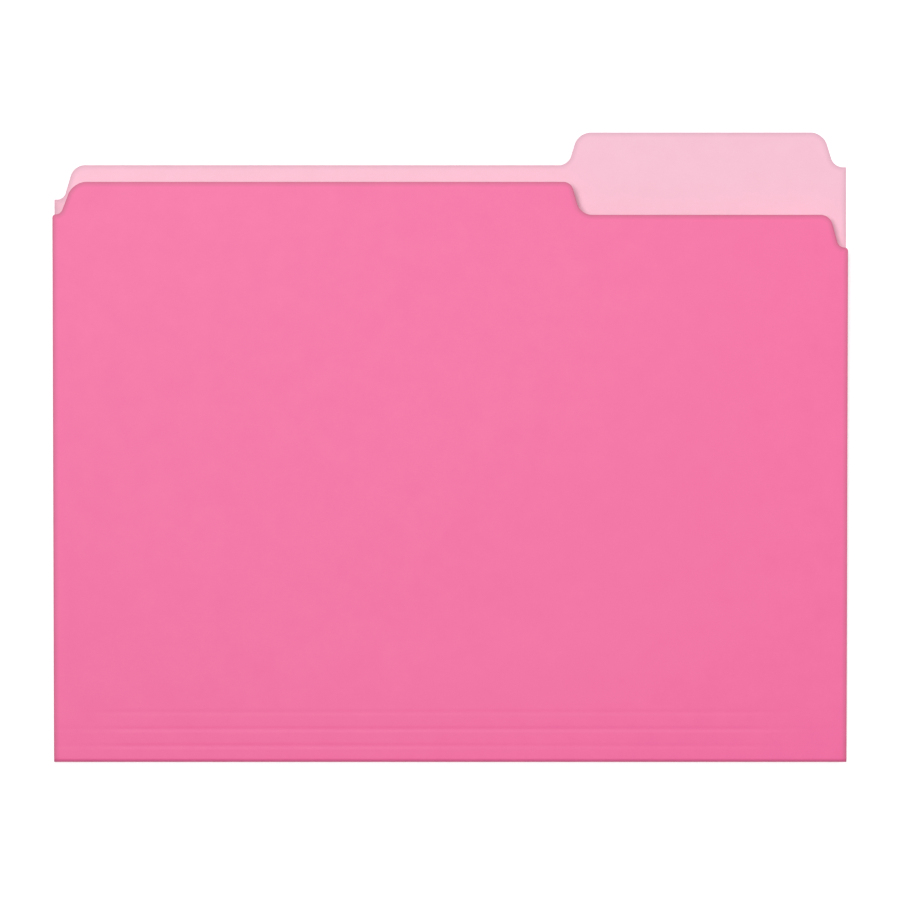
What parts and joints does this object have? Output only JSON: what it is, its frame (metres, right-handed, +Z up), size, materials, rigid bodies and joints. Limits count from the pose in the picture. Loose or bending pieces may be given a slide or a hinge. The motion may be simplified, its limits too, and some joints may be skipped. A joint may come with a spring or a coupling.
{
  "type": "file folder",
  "caption": "Letter-size two-tone card file folder with a right-hand tab, an undercut front leaf and scored expansion strips at the fold.",
  "frame": {"origin": "centre of the bounding box at its base: under the middle of the back leaf, on the surface that the folder lies on", "axes": "+X along the fold towards the tab's side, +Y from the fold to the tab, +Z up out of the surface, from the back leaf to the front leaf"},
  "size_m": [0.2984, 0.2372, 0.0125],
  "materials": {
    "outer_face": "matte",
    "inner_face": "matte"
  },
  "bodies": {
    "back_leaf": {"back_leaf_outer_ply": "outer_face", "back_leaf_inner_ply": "inner_face", "main_fold_outer_ply": "outer_face", "main_fold_inner_ply": "inner_face"},
    "gusset": {"expansion_strip_1_outer_ply": "outer_face", "expansion_strip_1_inner_ply": "inner_face", "expansion_strip_2_outer_ply": "outer_face", "expansion_strip_2_inner_ply": "inner_face", "expansion_strip_3_outer_ply": "outer_face", "expansion_strip_3_inner_ply": "inner_face"},
    "front_leaf": {"front_leaf_outer_ply": "outer_face", "front_leaf_inner_ply": "inner_face"}
  },
  "joints": [
    {"name": "cover_fold", "type": "hinge", "parent": "back_leaf", "child": "gusset", "pos_m": [0, -0.11715, 0.0015], "axis": [1, 0, 0], "range_deg": [0, 177.5]},
    {"name": "top_score", "type": "hinge", "parent": "gusset", "child": "front_leaf", "pos_m": [0, -0.09983, 0.00376], "axis": [-1, 0, 0], "range_deg": [-175, 0]}
  ]
}
